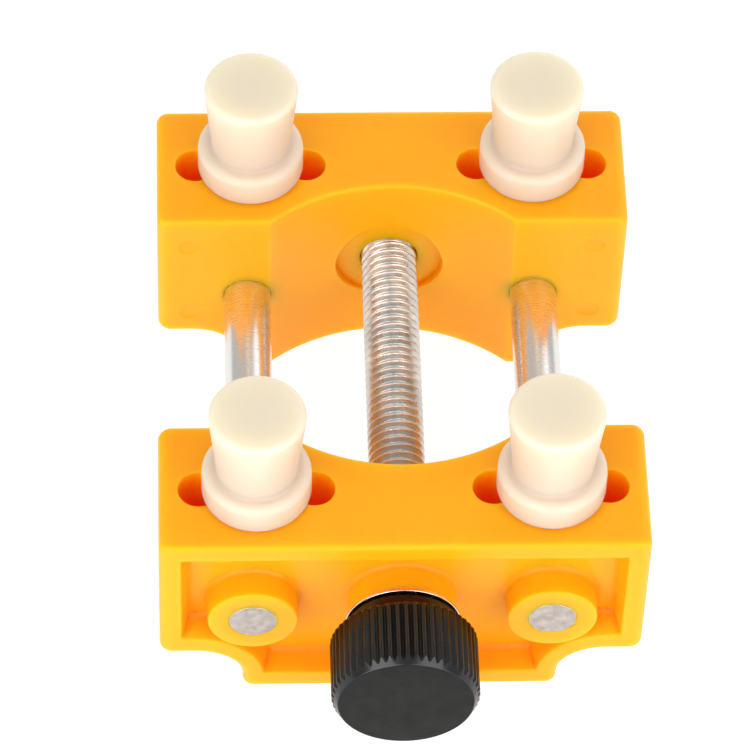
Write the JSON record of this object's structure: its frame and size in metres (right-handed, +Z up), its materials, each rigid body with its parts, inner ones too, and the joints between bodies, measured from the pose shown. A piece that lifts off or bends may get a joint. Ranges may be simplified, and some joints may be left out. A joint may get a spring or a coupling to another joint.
{
  "type": "watch case and movement holder",
  "caption": "Bench holder for watch cases and movements: two slotted jaws on guide rods, closed by a knob and lead screw, with lift-out pegs.",
  "frame": {"origin": "middle of the footprint, on the surface that the jaws' feet stand on", "axes": "+Y along the guide rods, away from the knob; +X to the right as seen from the knob; +Z up, out of the jaws' peg holes"},
  "size_m": [0.05, 0.0758, 0.0377],
  "materials": {
    "jaw_plastic": "satin amber-yellow moulding, slightly translucent",
    "peg_nylon": "smooth ivory nylon, slightly translucent",
    "knob_plastic": "glossy black moulding with fine ribs",
    "rod_steel": "ground, with faced ends",
    "screw_steel": "zinc plated thread",
    "washer_steel": "bright plated",
    "clip_steel": "phosphated spring steel",
    "insert_brass": "turned"
  },
  "bodies": {
    "front_frame": {"front_jaw": "jaw_plastic", "guide_rod_left": "rod_steel", "guide_rod_right": "rod_steel"},
    "knob_spindle": {"knob": "knob_plastic", "lead_screw": "screw_steel", "thrust_washer": "washer_steel", "inner_washer": "washer_steel", "retaining_clip": "clip_steel"},
    "rear_carriage": {"rear_jaw": "jaw_plastic", "threaded_insert": "insert_brass"},
    "front_left_peg": {"peg_front_left": "peg_nylon"},
    "front_right_peg": {"peg_front_right": "peg_nylon"},
    "rear_left_peg": {"peg_rear_left": "peg_nylon"},
    "rear_right_peg": {"peg_rear_right": "peg_nylon"}
  },
  "joints": [
    {"name": "knob_turn", "type": "hinge", "parent": "front_frame", "child": "knob_spindle", "pos_m": [0, -0.02722, 0.0124], "axis": [0, 1, 0], "range_deg": [-2160, 9360]},
    {"name": "rear_jaw_slide", "type": "slide", "parent": "front_frame", "child": "rear_carriage", "axis": [0, -1, 0], "range_m": [-0.006, 0.026]},
    {"name": "front_left_peg_lift", "type": "slide", "parent": "front_frame", "child": "front_left_peg", "axis": [0, 0, 1], "range_m": [0, 0.009]},
    {"name": "front_right_peg_lift", "type": "slide", "parent": "front_frame", "child": "front_right_peg", "axis": [0, 0, 1], "range_m": [0, 0.009]},
    {"name": "rear_left_peg_lift", "type": "slide", "parent": "rear_carriage", "child": "rear_left_peg", "axis": [0, 0, 1], "range_m": [0, 0.009]},
    {"name": "rear_right_peg_lift", "type": "slide", "parent": "rear_carriage", "child": "rear_right_peg", "axis": [0, 0, 1], "range_m": [0, 0.009]}
  ],
  "couplings": [
    {"joint": "knob_turn", "follows": "rear_jaw_slide", "rad_per_m": 6283.2}
  ]
}
